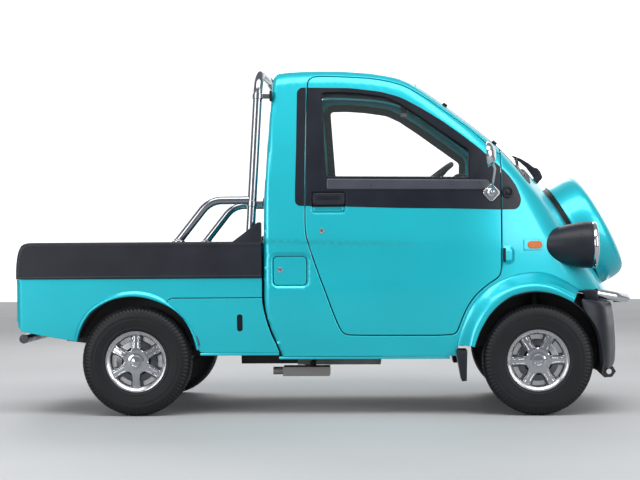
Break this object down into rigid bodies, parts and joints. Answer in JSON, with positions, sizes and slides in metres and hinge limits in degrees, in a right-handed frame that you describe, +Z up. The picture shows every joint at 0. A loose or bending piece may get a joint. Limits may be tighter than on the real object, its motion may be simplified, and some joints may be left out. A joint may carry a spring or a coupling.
{
  "type": "kei pickup truck",
  "caption": "Small cab-over pickup truck with hinged doors, drop tailgate, steered front wheels, tube roll bar and a nose-mounted spare wheel cover.",
  "frame": {"origin": "on the ground under the centre of the plan rectangle", "axes": "+X forward, +Y to the vehicle's left, +Z up"},
  "size_m": [2.8865, 1.556, 1.626],
  "materials": {
    "paint": "metallic turquoise clear coat",
    "black_plastic": "fine grained",
    "seat_cloth": "woven",
    "chassis_paint": "satin black",
    "chrome_trim": "polished",
    "glass": "clear",
    "tyre": "tread",
    "amber": "lens",
    "red_lens": "lens",
    "cast_alloy": "cast",
    "bare_steel": "dull"
  },
  "bodies": {
    "truck": {"frame_rails": "chassis_paint", "cab_side_right": "paint", "cab_side_left": "paint", "cab_back": "paint", "roof_panel": "paint", "cab_floor": "chassis_paint", "nose_panel": "paint", "front_fender_right": "paint", "front_fender_left": "paint", "windshield": "glass", "rear_window": "glass", "dashboard": "black_plastic", "seat_cushion": "seat_cloth", "seat_back": "seat_cloth", "front_bumper": "black_plastic", "front_guard_bar": "chrome_trim", "headlamp_right": "black_plastic", "headlamp_left": "black_plastic", "spare_wheel_cover": "paint", "bed_body": "paint", "bed_rail": "black_plastic", "roll_bar": "chrome_trim", "rear_bar": "chrome_trim", "tail_lamps": "red_lens", "mud_flaps": "black_plastic", "wiper": "black_plastic", "engine": "cast_alloy", "driveline": "chassis_paint", "exhaust": "bare_steel", "fuel_tank": "black_plastic", "rear_axle": "chassis_paint", "leaf_springs": "chassis_paint", "front_suspension": "chassis_paint", "steering_column": "black_plastic", "side_markers": "amber", "cabin_fittings": "black_plastic"},
    "knuckle_right": {"knuckle_right": "chassis_paint"},
    "knuckle_left": {"knuckle_left": "chassis_paint"},
    "front_wheel_right": {"tyre_front_right": "tyre", "wheel_front_right": "chrome_trim"},
    "front_wheel_left": {"tyre_front_left": "tyre", "wheel_front_left": "chrome_trim"},
    "rear_wheel_right": {"tyre_rear_right": "tyre", "wheel_rear_right": "chrome_trim"},
    "rear_wheel_left": {"tyre_rear_left": "tyre", "wheel_rear_left": "chrome_trim"},
    "right_door": {"door_right": "paint", "door_glass_right": "glass", "mirror_right": "chrome_trim"},
    "left_door": {"door_left": "paint", "door_glass_left": "glass", "mirror_left": "chrome_trim"},
    "rear_gate": {"tailgate": "paint"},
    "filler_lid": {"fuel_lid": "paint"},
    "hand_wheel": {"steering_wheel": "black_plastic"}
  },
  "joints": [
    {"name": "steer_right", "type": "hinge", "parent": "truck", "child": "knuckle_right", "pos_m": [0.96, -0.47, 0.252], "axis": [0, 0, 1], "range_deg": [-32, 32]},
    {"name": "steer_left", "type": "hinge", "parent": "truck", "child": "knuckle_left", "pos_m": [0.96, 0.47, 0.252], "axis": [0, 0, 1], "range_deg": [-32, 32]},
    {"name": "hand_wheel_turn", "type": "hinge", "parent": "truck", "child": "hand_wheel", "pos_m": [0.445, -0.27, 1.056], "axis": [-0.6088, 0, 0.7934], "range_deg": [-480, 480]},
    {"name": "front_wheel_right_spin", "type": "hinge", "parent": "knuckle_right", "child": "front_wheel_right", "pos_m": [0.96, -0.548, 0.252], "axis": [0, 1, 0], "continuous": true},
    {"name": "front_wheel_left_spin", "type": "hinge", "parent": "knuckle_left", "child": "front_wheel_left", "pos_m": [0.96, 0.548, 0.252], "axis": [0, 1, 0], "continuous": true},
    {"name": "rear_wheel_right_spin", "type": "hinge", "parent": "truck", "child": "rear_wheel_right", "pos_m": [-0.88, -0.548, 0.252], "axis": [0, 1, 0], "continuous": true},
    {"name": "rear_wheel_left_spin", "type": "hinge", "parent": "truck", "child": "rear_wheel_left", "pos_m": [-0.88, 0.548, 0.252], "axis": [0, 1, 0], "continuous": true},
    {"name": "right_door_hinge", "type": "hinge", "parent": "truck", "child": "right_door", "pos_m": [0.8, -0.592, 0.9], "axis": [0, 0, 1], "range_deg": [0, 65]},
    {"name": "left_door_hinge", "type": "hinge", "parent": "truck", "child": "left_door", "pos_m": [0.8, 0.592, 0.9], "axis": [0, 0, -1], "range_deg": [0, 65]},
    {"name": "tailgate_hinge", "type": "hinge", "parent": "truck", "child": "rear_gate", "pos_m": [-1.44, 0, 0.643], "axis": [0, -1, 0], "range_deg": [0, 90]},
    {"name": "filler_lid_hinge", "type": "hinge", "parent": "truck", "child": "filler_lid", "pos_m": [-0.09, -0.622, 0.665], "axis": [0, 0, 1], "range_deg": [0, 80]}
  ],
  "couplings": [
    {"joint": "steer_left", "follows": "steer_right", "ratio": 1},
    {"joint": "hand_wheel_turn", "follows": "steer_right", "ratio": 15}
  ]
}
